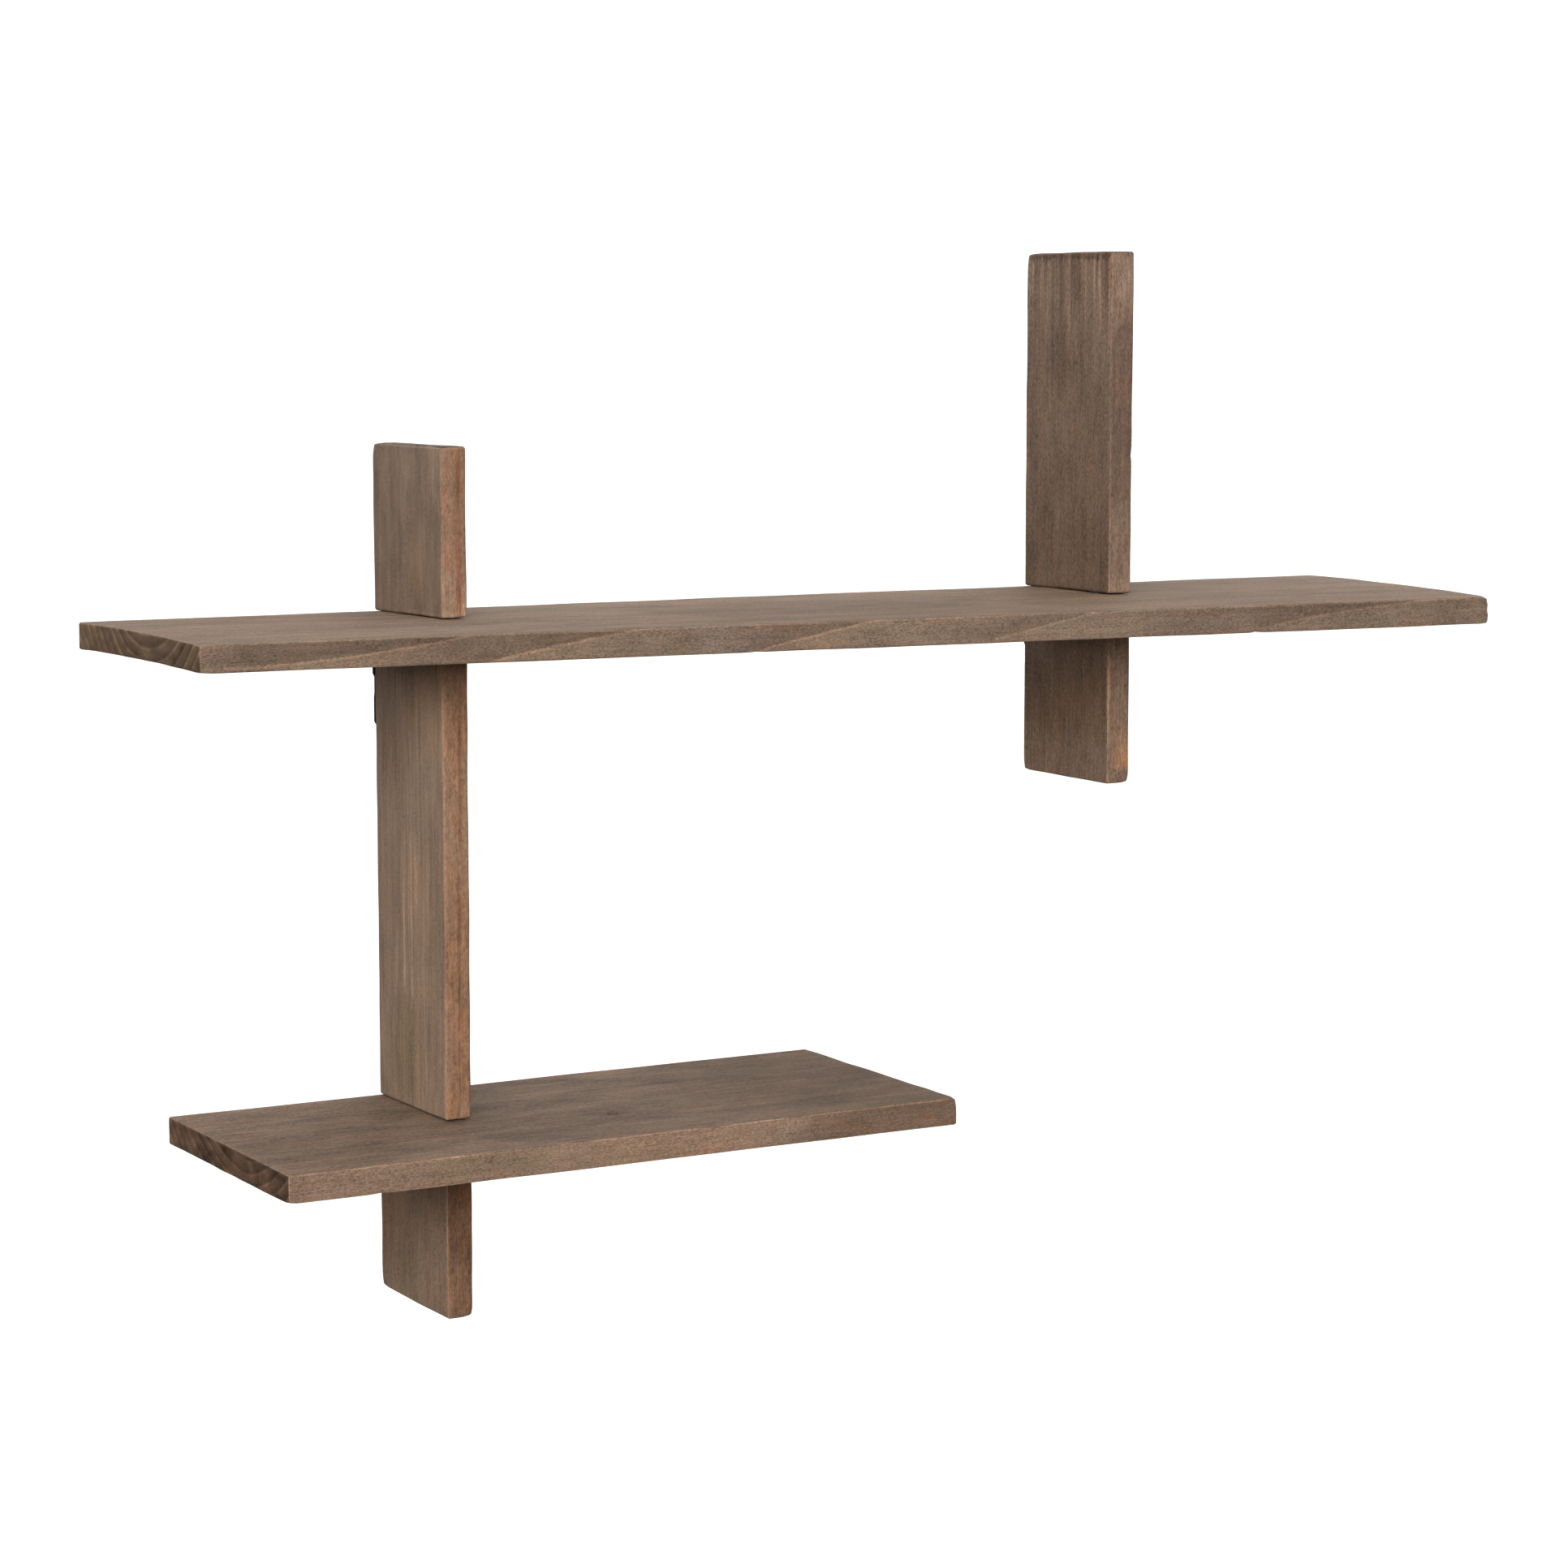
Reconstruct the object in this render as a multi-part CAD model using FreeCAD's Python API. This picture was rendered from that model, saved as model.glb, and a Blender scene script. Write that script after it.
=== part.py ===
"""Wooden wall shelf: a long plank and a short plank carried by two plank uprights.

Each upright is a stack of separate blocks, butted against the shelves' faces. Two dowels and
a double-ended screw run through the shelf at every crossing and hold the stack together.
A steel keyhole plate on the back of each upright hangs the shelf on a wall screw.

Frame: millimetres, +X to the right, +Y into the wall, +Z up. The origin is in the wall plane,
half way between the centres of the two round keyhole entries.
"""
import FreeCAD, Part
import math
import os

V = FreeCAD.Vector

# Planks: all are cut from one stock thickness, and their sharp edges are sanded round.
plank_thickness = 11.5
eased_edge = 1.0

long_shelf_length = 600.0
long_shelf_depth = 128.0
long_shelf_left_end = -288.6
short_shelf_length = 294.5
short_shelf_depth = 124.0
short_shelf_left_end = -255.3
shelf_spacing = 199.5

upright_width = 65.5
upright_spacing = 316.0
left_top_height = 68.0
left_bottom_height = 68.5
right_top_height = 147.0
right_bottom_height = 71.0

# Dowels and double-ended screws at each crossing of an upright and a shelf.
dowel_diameter = 6.0
dowel_length = 40.0
dowel_inset = 14.0
dowel_chamfer = 0.8
dowel_flutes = 10
flute_radius = 0.35
joint_screw_diameter = 4.8
joint_screw_core = 3.4
joint_screw_length = 60.0
joint_screw_thread = 20.0
joint_screw_tip = 4.0
joint_screw_clearance = 0.2
thread_pitch = 2.5
hole_end_gap = 1.0

# Keyhole plates: a wide head around the keyhole, a waist, and a tail with two screws.
plate_thickness = 1.5
plate_head_width = 10.7
plate_waist_width = 9.2
plate_tail_width = 9.7
plate_top = 9.0
plate_bottom = -24.0
plate_head_bottom = -2.5
plate_waist_top = -4.0
plate_waist_bottom = -10.0
plate_tail_top = -12.5
plate_corner = 2.4
keyhole_entry_radius = 4.0
keyhole_slot_radius = 2.1
keyhole_drop = 5.2
pocket_radius = 4.3
pocket_depth = 5.0
plate_below_shelf = 2.5
plate_spacing = 317.0

# Countersunk wood screws that fix the plates.
plate_screw_heights = {"upper": -11.0, "lower": -19.5}
plate_screw_diameter = 3.0
plate_screw_head = 5.8
plate_screw_length = 16.0
plate_screw_tip = 3.0
plate_screw_sink = 0.1
plate_screw_clearance = 0.1
cross_recess_width = 0.7
cross_recess_span = 3.2
cross_recess_depth = 0.9

# Levels and positions that follow from the dimensions above.
wood_back = -plate_thickness
long_shelf_bottom = plate_top + plate_below_shelf
long_shelf_top = long_shelf_bottom + plank_thickness
short_shelf_top = long_shelf_top - shelf_spacing
short_shelf_bottom = short_shelf_top - plank_thickness
upright_x = {"left": -upright_spacing / 2, "right": upright_spacing / 2}
plate_x = {"left": -plate_spacing / 2, "right": plate_spacing / 2}
upright_middle_y = wood_back - upright_width / 2
dowel_y = {"rear": wood_back - dowel_inset, "front": wood_back - upright_width + dowel_inset}
crossings = {
    "left_long": (upright_x["left"], long_shelf_top - plank_thickness / 2),
    "left_short": (upright_x["left"], short_shelf_top - plank_thickness / 2),
    "right_long": (upright_x["right"], long_shelf_top - plank_thickness / 2),
}


def plank(x_low, length_x, depth, z_low, height):
    """A board with every sharp edge sanded round, its back on the wood's back plane."""
    box = Part.makeBox(length_x, depth, height, V(x_low, wood_back - depth, z_low))
    return box.makeFillet(eased_edge, box.Edges)


def shelf(left_end, length, depth, z_low):
    return plank(left_end, length, depth, z_low, plank_thickness)


def upright_block(side, z_low, z_high):
    x_low = upright_x[side] - plank_thickness / 2
    return plank(x_low, plank_thickness, upright_width, z_low, z_high - z_low)


def upright_post(x, y, z_middle, radius, length):
    """A plain upright cylinder, centred on a height."""
    return Part.makeCylinder(radius, length, V(x, y, z_middle - length / 2))


def revolved(profile):
    """Turn a closed outline of (radius, height) points about the Z axis."""
    points = [V(radius, 0, height) for radius, height in profile]
    face = Part.Face(Part.makePolygon(points + points[:1]))
    return face.revolve(V(0, 0, 0), V(0, 0, 1), 360)


def dowel(x, y, z_middle):
    """A fluted hardwood dowel with chamfered ends."""
    radius = dowel_diameter / 2
    half = dowel_length / 2
    pin = revolved([
        (0, -half),
        (radius - dowel_chamfer, -half),
        (radius, dowel_chamfer - half),
        (radius, half - dowel_chamfer),
        (radius - dowel_chamfer, half),
        (0, half),
    ])
    for number in range(dowel_flutes):
        turn = 2 * math.pi * number / dowel_flutes
        foot = V(radius * math.cos(turn), radius * math.sin(turn), -half)
        pin = pin.cut(Part.makeCylinder(flute_radius, dowel_length, foot))
    pin.translate(V(x, y, z_middle))
    return pin


def threaded_end(length, tip):
    """Points of one threaded end, from its tip inwards: V-shaped ridges on a thinner core."""
    core = joint_screw_core / 2
    outer = joint_screw_diameter / 2
    points = [(0, 0), (core, tip)]
    ridges = int((length - tip) / thread_pitch)
    for number in range(ridges):
        foot = tip + number * thread_pitch
        points.append((outer, foot + thread_pitch / 2))
        points.append((core, foot + thread_pitch))
    return points


def joint_screw(x, z_middle):
    """A double-ended wood screw with a plain middle where it passes through the shelf."""
    outer = joint_screw_diameter / 2
    half = joint_screw_length / 2
    lower = [(radius, height - half) for radius, height in threaded_end(joint_screw_thread, joint_screw_tip)]
    upper = [(radius, -height) for radius, height in reversed(lower)]
    collar = [(outer, lower[-1][1]), (outer, upper[0][1])]
    screw = revolved(lower + collar + upper)
    screw.translate(V(x, upright_middle_y, z_middle))
    return screw


def crossing_holes(wood_is_shelf):
    """Drilled holes at every crossing: snug for the dowels, and for the screws in the blocks."""
    screw_hole = joint_screw_diameter / 2 + (joint_screw_clearance if wood_is_shelf else 0)
    holes = []
    for x, z_middle in crossings.values():
        for y in dowel_y.values():
            length = dowel_length + 2 * hole_end_gap
            holes.append(upright_post(x, y, z_middle, dowel_diameter / 2, length))
        length = joint_screw_length + 2 * hole_end_gap
        holes.append(upright_post(x, upright_middle_y, z_middle, screw_hole, length))
    return holes


def keyhole_slot(x, entry_radius, slot_radius, y_front, y_back):
    """A keyhole along Y: a round entry and, above it, a slot that the screw slides up into."""
    depth = y_back - y_front
    into_wall = V(0, 1, 0)
    entry = Part.makeCylinder(entry_radius, depth, V(x, y_front, 0), into_wall)
    slot_end = Part.makeCylinder(slot_radius, depth, V(x, y_front, keyhole_drop), into_wall)
    slot = Part.makeBox(2 * slot_radius, depth, keyhole_drop, V(x - slot_radius, y_front, 0))
    return entry.fuse([slot_end, slot]).removeSplitter()


def plate_screw(x, z):
    """A countersunk screw driven forwards from the wall side, with a cross recess in its head."""
    radius = plate_screw_diameter / 2
    head = plate_screw_head / 2
    head_height = head - radius
    screw = revolved([
        (0, plate_screw_sink),
        (head, plate_screw_sink),
        (radius, plate_screw_sink + head_height),
        (radius, plate_screw_length - plate_screw_tip),
        (0, plate_screw_length),
    ])
    half_width = cross_recess_width / 2
    half_span = cross_recess_span / 2
    recess_depth = plate_screw_sink + cross_recess_depth
    for size_x, size_y in ((half_width, half_span), (half_span, half_width)):
        recess = Part.makeBox(2 * size_x, 2 * size_y, recess_depth, V(-size_x, -size_y, 0))
        screw = screw.cut(recess)
    screw.rotate(V(0, 0, 0), V(1, 0, 0), 90)
    screw.translate(V(x, 0, z))
    return screw


def plate_screw_hole(x, z):
    """The countersunk hole for one fixing screw, through the plate."""
    radius = plate_screw_diameter / 2 + plate_screw_clearance
    mouth = plate_screw_head / 2 + plate_screw_clearance
    forwards = V(0, -1, 0)
    drill = Part.makeCylinder(radius, plate_thickness, V(x, 0, z), forwards)
    return drill.fuse(Part.makeCone(mouth, radius, mouth - radius, V(x, 0, z), forwards))


def hanger_plate(side):
    """A stamped steel plate with a keyhole in its head and two countersunk holes in its tail."""
    x = plate_x[side]
    half_outline = [
        (plate_head_width / 2, plate_top),
        (plate_head_width / 2, plate_head_bottom),
        (plate_waist_width / 2, plate_waist_top),
        (plate_waist_width / 2, plate_waist_bottom),
        (plate_tail_width / 2, plate_tail_top),
        (plate_tail_width / 2, plate_bottom),
    ]
    right_side = [V(x + half_width, 0, z) for half_width, z in half_outline]
    left_side = [V(x - half_width, 0, z) for half_width, z in reversed(half_outline)]
    outline = Part.makePolygon(right_side + left_side + right_side[:1])
    blank = Part.Face(outline).extrude(V(0, -plate_thickness, 0))
    corners = [
        edge for edge in blank.Edges
        if edge.BoundBox.YLength > plate_thickness / 2
        and edge.CenterOfMass.z in (plate_top, plate_bottom)
    ]
    blank = blank.makeFillet(plate_corner, corners)
    keyhole = keyhole_slot(x, keyhole_entry_radius, keyhole_slot_radius, -plate_thickness, 0)
    screw_holes = [plate_screw_hole(x, z) for z in plate_screw_heights.values()]
    return blank.cut([keyhole] + screw_holes)


def hanger_seat(side):
    """What is drilled into an upright behind its plate: a pocket and two pilot holes."""
    x = plate_x[side]
    tools = [keyhole_slot(x, pocket_radius, pocket_radius, wood_back - pocket_depth, wood_back)]
    for z in plate_screw_heights.values():
        length = plate_screw_length - plate_thickness + hole_end_gap
        tools.append(Part.makeCylinder(plate_screw_diameter / 2, length, V(x, wood_back, z), V(0, -1, 0)))
    return tools


def shelves():
    planks = {
        "long_shelf": shelf(long_shelf_left_end, long_shelf_length, long_shelf_depth, long_shelf_bottom),
        "short_shelf": shelf(short_shelf_left_end, short_shelf_length, short_shelf_depth, short_shelf_bottom),
    }
    return {name: board.cut(crossing_holes(True)) for name, board in planks.items()}


def uprights():
    left_foot = short_shelf_bottom - left_bottom_height
    right_foot = long_shelf_bottom - right_bottom_height
    blocks = {
        "left_upright_top": upright_block("left", long_shelf_top, long_shelf_top + left_top_height),
        "left_upright_middle": upright_block("left", short_shelf_top, long_shelf_bottom),
        "left_upright_bottom": upright_block("left", left_foot, short_shelf_bottom),
        "right_upright_top": upright_block("right", long_shelf_top, long_shelf_top + right_top_height),
        "right_upright_bottom": upright_block("right", right_foot, long_shelf_bottom),
    }
    blocks = {name: block.cut(crossing_holes(False)) for name, block in blocks.items()}
    blocks["left_upright_middle"] = blocks["left_upright_middle"].cut(hanger_seat("left"))
    blocks["right_upright_bottom"] = blocks["right_upright_bottom"].cut(hanger_seat("right"))
    return blocks


def joint_hardware():
    pieces = {}
    for crossing, (x, z_middle) in crossings.items():
        pieces[crossing + "_joint_screw"] = joint_screw(x, z_middle)
        for place, y in dowel_y.items():
            pieces[crossing + "_dowel_" + place] = dowel(x, y, z_middle)
    return pieces


def hanging_hardware():
    pieces = {}
    for side, x in plate_x.items():
        pieces[side + "_hanger_plate"] = hanger_plate(side)
        for place, z in plate_screw_heights.items():
            pieces[side + "_hanger_screw_" + place] = plate_screw(x, z)
    return pieces


def single_solid(name, shape):
    """Return the one solid of a shape, and refuse a piece that isn't one sound solid."""
    if len(shape.Solids) != 1 or not shape.isValid():
        raise ValueError(name + " is not one sound solid")
    return shape.Solids[0]


os.makedirs("parts", exist_ok=True)
for name, shape in {**shelves(), **uprights(), **joint_hardware(), **hanging_hardware()}.items():
    single_solid(name, shape).exportStep("parts/" + name + ".step")
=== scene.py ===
import math

import bpy
import numpy as np
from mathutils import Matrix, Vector


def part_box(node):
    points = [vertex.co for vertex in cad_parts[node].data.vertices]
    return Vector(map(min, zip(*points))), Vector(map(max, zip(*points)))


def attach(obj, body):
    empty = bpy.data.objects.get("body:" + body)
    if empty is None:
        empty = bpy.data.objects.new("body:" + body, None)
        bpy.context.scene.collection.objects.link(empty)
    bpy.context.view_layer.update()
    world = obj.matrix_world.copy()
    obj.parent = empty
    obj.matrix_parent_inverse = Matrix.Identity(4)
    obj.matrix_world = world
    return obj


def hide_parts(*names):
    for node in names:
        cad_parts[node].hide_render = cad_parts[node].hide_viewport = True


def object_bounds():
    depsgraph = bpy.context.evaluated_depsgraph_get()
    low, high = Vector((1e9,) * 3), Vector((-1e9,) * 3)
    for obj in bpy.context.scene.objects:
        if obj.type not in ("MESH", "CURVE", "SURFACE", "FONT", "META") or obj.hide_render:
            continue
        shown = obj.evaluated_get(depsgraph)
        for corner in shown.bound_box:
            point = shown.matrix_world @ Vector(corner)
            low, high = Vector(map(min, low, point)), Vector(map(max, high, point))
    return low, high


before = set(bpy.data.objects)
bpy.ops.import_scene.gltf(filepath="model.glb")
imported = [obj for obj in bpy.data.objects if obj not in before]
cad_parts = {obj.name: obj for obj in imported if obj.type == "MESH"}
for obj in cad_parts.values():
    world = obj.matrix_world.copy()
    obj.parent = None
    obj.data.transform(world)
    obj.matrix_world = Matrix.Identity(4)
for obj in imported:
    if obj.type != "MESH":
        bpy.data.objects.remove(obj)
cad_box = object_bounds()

MM = 0.001
long_low, long_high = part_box("long_shelf")
short_low, short_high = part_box("short_shelf")

# How the real planks differ from their nominal size, in millimetres.
LONG_DEPTH = 128.6
LONG_THICKNESS = (10.7, 12.05)
LONG_FRONT_LIFT = (0.14, -2.47)
LONG_CROWN = 0.8
SHORT_DEPTH = 124.0
SHORT_THICKNESS = (11.24, 11.43)
SHORT_TOP_RISE = 0.3
BLOCK_THICKNESS = {"left": 11.25, "right": 12.1}
BLOCK_WIDTH = {"left": 65.4, "right": 65.9}
SEAT_GAP_BACK = 0.05
SEAT_GAP_FRONT = 0.32

# Seats of the keyhole plates, cut in the backs of two blocks, in millimetres.
HUNG_BLOCKS = {"left_upright_middle": "left", "right_upright_bottom": "right"}
POCKET_RADIUS = 4.3
POCKET_DEPTH = 5.0
KEYHOLE_DROP = 5.2
PILOT_RADIUS = 1.5
OVERSHOOT = 1.0

# Lattice of each plank's skin, in millimetres: its rounded arrises, its stops and its relief.
ARRIS_STEPS = 5
BOARD_ARRIS = 1.1
BLOCK_ARRIS = 1.3
BOARD_SPACING = (2.0, 3.0, 2.2)
BLOCK_SPACING = (2.2, 2.6, 2.0)
ARRIS_SWELL = 0.10
ARRIS_WAVE = (60, 60, 60)
FACE_RELIEF = 0.05
FACE_WAVE = (60, 25, 25)
FIRST_SEED = 100
SEED_STEP = 10


# ---------------------------------------------------------------------------------------- planks

def stops(half, radius, spacing):
    """Lattice positions from -half to half: fine across the rounded arrises, even between."""
    rim = radius * np.tan(np.linspace(0, math.pi / 4, ARRIS_STEPS + 1))[1:]
    core = half - radius
    count = max(2, round(2 * core / spacing))
    middle = np.linspace(-core, core, count + 1)
    return np.concatenate([-(core + rim[::-1]), middle, core + rim])


def lattice_shell(xs, ys, zs):
    """Points and outward quads of a closed box, with one shared set of stops per axis."""
    i, j, k = np.meshgrid(range(len(xs)), range(len(ys)), range(len(zs)), indexing="ij")
    shell = (i % (len(xs) - 1) == 0) | (j % (len(ys) - 1) == 0) | (k % (len(zs) - 1) == 0)
    number = np.full(shell.shape, -1)
    number[shell] = np.arange(shell.sum())
    points = np.stack([xs[i[shell]], ys[j[shell]], zs[k[shell]]], axis=1)
    quads = []
    for axis in range(3):
        for end in (0, -1):
            layer = number.take(end, axis=axis)
            ring = [layer[:-1, :-1], layer[1:, :-1], layer[1:, 1:], layer[:-1, 1:]]
            outward = (end == -1) != (axis == 1)
            ring = ring if outward else ring[::-1]
            quads.append(np.stack([corner.ravel() for corner in ring], axis=1))
    return points, np.concatenate(quads)


def ripple(points, wavelength, seed, waves=14):
    """Smooth random relief of about unit height; wavelength is one length per axis."""
    random = np.random.default_rng(seed)
    directions = random.normal(size=(waves, 3))
    directions /= np.linalg.norm(directions, axis=1, keepdims=True)
    frequency = random.uniform(0.6, 1.6, waves)
    phase = random.uniform(0, 2 * math.pi, waves)
    turns = (points / np.array(wavelength)) @ directions.T * frequency
    return np.sin(2 * math.pi * turns + phase).sum(axis=1) / math.sqrt(waves / 2)


def plank_mesh(node, spacing, arris_radius, seed, warp, dents=()):
    """A sawn and sanded plank in the place of a CAD node, as a mesh with an arris attribute.

    warp moves points given as millimetres from the node's centre. A dent is a place in
    millimetres from the node's lowest corner, a reach and a depth."""
    low, high = (np.array(corner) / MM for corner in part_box(node))
    half = (high - low) / 2
    axes = [stops(half[axis], arris_radius, spacing[axis]) for axis in range(3)]
    flat, quads = lattice_shell(*axes)
    radius = arris_radius * (1 + ARRIS_SWELL * ripple(flat, ARRIS_WAVE, seed))
    radius = np.clip(radius, 0.6 * arris_radius, 1.4 * arris_radius)[:, None]
    core = np.clip(flat, -(half - radius), half - radius)
    reach = flat - core
    normal = reach / np.linalg.norm(reach, axis=1, keepdims=True)
    points = core + normal * radius
    arris = np.clip(1 - (np.abs(normal).max(axis=1) - math.sqrt(0.5)) / (1 - math.sqrt(0.5)), 0, 1)
    points += normal * FACE_RELIEF * (ripple(flat, FACE_WAVE, seed + 1)[:, None] - 1)
    for place, size, depth in dents:
        distance = np.linalg.norm(points + half - np.array(place), axis=1)
        points -= normal * (depth * np.exp(-(distance / size) ** 2))[:, None]
    points = warp(points, half) + (low + high) / 2
    mesh = bpy.data.meshes.new(node + "_plank")
    mesh.from_pydata((points * MM).tolist(), [], quads.tolist())
    mesh.polygons.foreach_set("use_smooth", [True] * len(mesh.polygons))
    mesh.attributes.new("arris", "FLOAT", "POINT").data.foreach_set("value", arris.astype(np.float32))
    mesh.update()
    return mesh


def blend(low_value, high_value, share):
    return low_value + (high_value - low_value) * share


def long_shelf_height(x, y, share):
    """Height of the long shelf, in mm: share is 0 at its underside and 1 at its crowned top."""
    along = (x - long_low.x / MM) / ((long_high.x - long_low.x) / MM)
    forward = (long_high.y / MM - y) / LONG_DEPTH
    lift = forward * blend(LONG_FRONT_LIFT[0], LONG_FRONT_LIFT[1], along)
    crown = LONG_CROWN * (1 - (2 * forward - 1) ** 2)
    thickness = blend(LONG_THICKNESS[0], LONG_THICKNESS[1], along)
    return long_high.z / MM + lift + crown - thickness * (1 - share)


def short_shelf_height(x, y, share):
    """Height of the short shelf, in mm: its top is flat and its underside tapers."""
    along = (x - short_low.x / MM) / ((short_high.x - short_low.x) / MM)
    thickness = blend(SHORT_THICKNESS[0], SHORT_THICKNESS[1], along)
    return short_high.z / MM + SHORT_TOP_RISE - thickness * (1 - share)


def board_warp(node, depth, height):
    """Warp of a shelf board: its true depth, and its crown, twist and taper."""
    low, high = (np.array(corner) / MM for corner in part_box(node))
    centre = (low + high) / 2

    def warp(points, half):
        moved = points.copy()
        share = (points[:, 2] + half[2]) / (2 * half[2])
        moved[:, 1] = half[1] - (half[1] - points[:, 1]) * depth / (2 * half[1])
        moved[:, 2] = height(points[:, 0] + centre[0], moved[:, 1] + centre[1], share) - centre[2]
        return moved
    return warp


def seat_gap(y):
    """The thin gap between a block and a shelf opens towards the front, in mm."""
    back = long_high.y / MM
    forward = np.clip((back - y) / BLOCK_WIDTH["left"], 0, 1)
    return SEAT_GAP_BACK + (SEAT_GAP_FRONT - SEAT_GAP_BACK) * forward ** 2


def block_warp(node, side, foot, head):
    """Warp of an upright's block: its true thickness and width, with its two ends seated.

    foot and head give each end's height in mm at a place, or are plain heights."""
    low, high = (np.array(corner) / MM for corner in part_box(node))
    centre = (low + high) / 2

    def level(end, x, y):
        return end(x, y) if callable(end) else end

    def warp(points, half):
        moved = points.copy()
        moved[:, 0] = points[:, 0] * BLOCK_THICKNESS[side] / (2 * half[0])
        moved[:, 1] = half[1] - (half[1] - points[:, 1]) * BLOCK_WIDTH[side] / (2 * half[1])
        x = moved[:, 0] + centre[0]
        y = moved[:, 1] + centre[1]
        bottom = level(foot, x, y)
        top = level(head, x, y)
        share = (points[:, 2] + half[2]) / (2 * half[2])
        moved[:, 2] = bottom + (top - bottom) * share - centre[2]
        return moved
    return warp


# Knocks on the arrises: a place in mm from the plank's lowest corner, a reach and a depth.
DENTS = {
    "long_shelf": (
        ((474, 0, 0), 1.7, 0.8), ((490, 0, 11.5), 2.2, 0.5), ((600, 0, 11.5), 2.8, 1.0),
        ((600, 0, 6), 1.5, 0.5), ((0, 0, 0), 2.6, 0.9),
        ((231, 0, 0), 2.0, 0.35), ((600, 0, 0), 2.0, 0.5),
    ),
    "short_shelf": (
        ((180, 0, 11.4), 2.0, 0.5), ((0, 0, 0), 2.4, 0.7),
        ((294, 0, 11.4), 2.6, 0.6), ((38, 0, 0), 3.0, 0.3),
    ),
    "left_upright_top": (((0, 0, 68), 2.5, 0.6), ((11, 0, 0), 2.5, 0.6), ((0, 65, 68), 3.0, 0.6)),
    "left_upright_bottom": (((11, 0, 0), 2.4, 0.7), ((0, 66, 0), 3.2, 0.6)),
    "right_upright_top": (((11.5, 0, 60), 1.8, 0.45), ((0, 0, 147), 2.6, 0.6), ((0, 65, 147), 3.0, 0.5)),
    "right_upright_bottom": (((11.5, 0, 0), 2.6, 0.7), ((0, 66, 0), 3.0, 0.6)),
}


def on_top_of(height):
    """Height of a block's foot that stands on a shelf."""
    return lambda x, y: height(x, y, 1) + seat_gap(y)


def underneath(height):
    """Height of a block's head that meets a shelf's underside."""
    return lambda x, y: height(x, y, 0) - seat_gap(y)


# ------------------------------------------------------------------------------------------ holes

def round_cutter(centre, radius, half_length, axis, rise=0.0):
    """A closed round cutter along Y or Z, as points and faces in metres.

    A rise stretches the circle of a cutter along Y upwards into a slot."""
    sides = 32
    turns = [2 * math.pi * number / sides for number in range(sides)]
    points = []
    for end in (-half_length, half_length):
        for turn in turns:
            a, b = radius * math.cos(turn), radius * math.sin(turn)
            slot = rise if a > 0 else 0.0
            offset = Vector((a, b, end)) if axis == "Z" else Vector((b, end, a + slot))
            points.append(centre + offset)
    faces = [[n, (n + 1) % sides, (n + 1) % sides + sides, n + sides] for n in range(sides)]
    faces += [list(reversed(range(sides))), list(range(sides, 2 * sides))]
    return points, faces


def drill(piece, cutters):
    """Cut closed cutters out of a piece and keep the result as its mesh."""
    made = []
    for points, faces in cutters:
        mesh = bpy.data.meshes.new("cutter")
        mesh.from_pydata(points, [], faces)
        cutter = bpy.data.objects.new("cutter", mesh)
        bpy.context.scene.collection.objects.link(cutter)
        cut = piece.modifiers.new("cut", "BOOLEAN")
        cut.operation = "DIFFERENCE"
        cut.solver = "MANIFOLD"
        cut.object = cutter
        made.append(cutter)
    bpy.context.view_layer.update()
    result = piece.evaluated_get(bpy.context.evaluated_depsgraph_get())
    piece.data = bpy.data.meshes.new_from_object(result)
    piece.modifiers.clear()
    for cutter in made:
        bpy.data.objects.remove(cutter)


# -------------------------------------------------------------------------------- material nodes

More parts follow.
